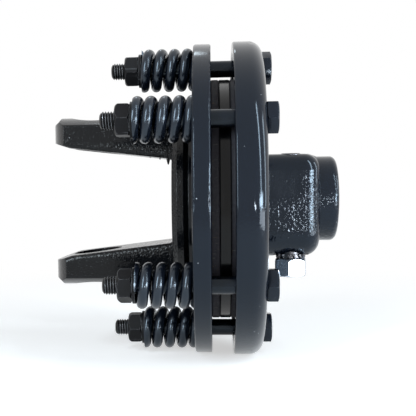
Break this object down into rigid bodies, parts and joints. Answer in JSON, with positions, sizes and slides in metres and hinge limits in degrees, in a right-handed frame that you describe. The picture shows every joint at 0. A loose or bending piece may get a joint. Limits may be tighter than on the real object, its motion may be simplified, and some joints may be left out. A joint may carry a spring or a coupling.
{
  "type": "power take-off friction clutch",
  "caption": "Friction torque limiter for a power take-off shaft: a flange yoke held between sprung friction discs and a bolted cup whose splined hub is locked by a pin.",
  "frame": {"origin": "on the shaft line, in the plane of the pressure plate's friction face", "axes": "X along the shaft line towards the splined hub, Z along the cross bore of the yoke"},
  "size_m": [0.1694, 0.188, 0.188],
  "materials": {
    "cast_paint": "gloss paint over a cast skin",
    "forged_paint": "gloss paint over a rough forged skin",
    "machined_paint": "satin paint over a turned face",
    "spring_enamel": "high gloss enamel",
    "black_fastener": "satin black oxide under thin paint",
    "dark_steel": "oiled dark steel",
    "zinc_plate": "bright zinc plate",
    "friction_lining": "pressed organic friction material",
    "bush_bronze": "turned"
  },
  "bodies": {
    "housing": {"hub_housing": "cast_paint", "taper_pin": "dark_steel", "taper_pin_washer": "dark_steel", "taper_pin_nut": "zinc_plate", "clamp_bolt_1": "black_fastener", "clamp_bolt_2": "black_fastener", "clamp_bolt_3": "black_fastener", "clamp_bolt_4": "black_fastener", "clamp_bolt_5": "black_fastener", "clamp_bolt_6": "black_fastener", "spring_1": "spring_enamel", "spring_2": "spring_enamel", "spring_3": "spring_enamel", "spring_4": "spring_enamel", "spring_5": "spring_enamel", "spring_6": "spring_enamel", "spring_washer_1": "black_fastener", "spring_washer_2": "black_fastener", "spring_washer_3": "black_fastener", "spring_washer_4": "black_fastener", "spring_washer_5": "black_fastener", "spring_washer_6": "black_fastener", "adjusting_nut_1": "black_fastener", "adjusting_nut_2": "black_fastener", "adjusting_nut_3": "black_fastener", "adjusting_nut_4": "black_fastener", "adjusting_nut_5": "black_fastener", "adjusting_nut_6": "black_fastener"},
    "yoke": {"flange_yoke": "forged_paint", "lining_left": "friction_lining", "lining_right": "friction_lining", "centre_bush": "bush_bronze"},
    "plate": {"pressure_plate": "machined_paint"}
  },
  "joints": [
    {"name": "yoke_slip", "type": "hinge", "parent": "housing", "child": "yoke", "pos_m": [0, 0, 0], "axis": [1, 0, 0], "continuous": true},
    {"name": "plate_release", "type": "slide", "parent": "housing", "child": "plate", "axis": [-1, 0, 0], "range_m": [0, 0.002], "stiffness_N_per_m": 20000, "springref_m": -0.005, "deforming": ["spring_1", "spring_2", "spring_3", "spring_4", "spring_5", "spring_6"]}
  ]
}
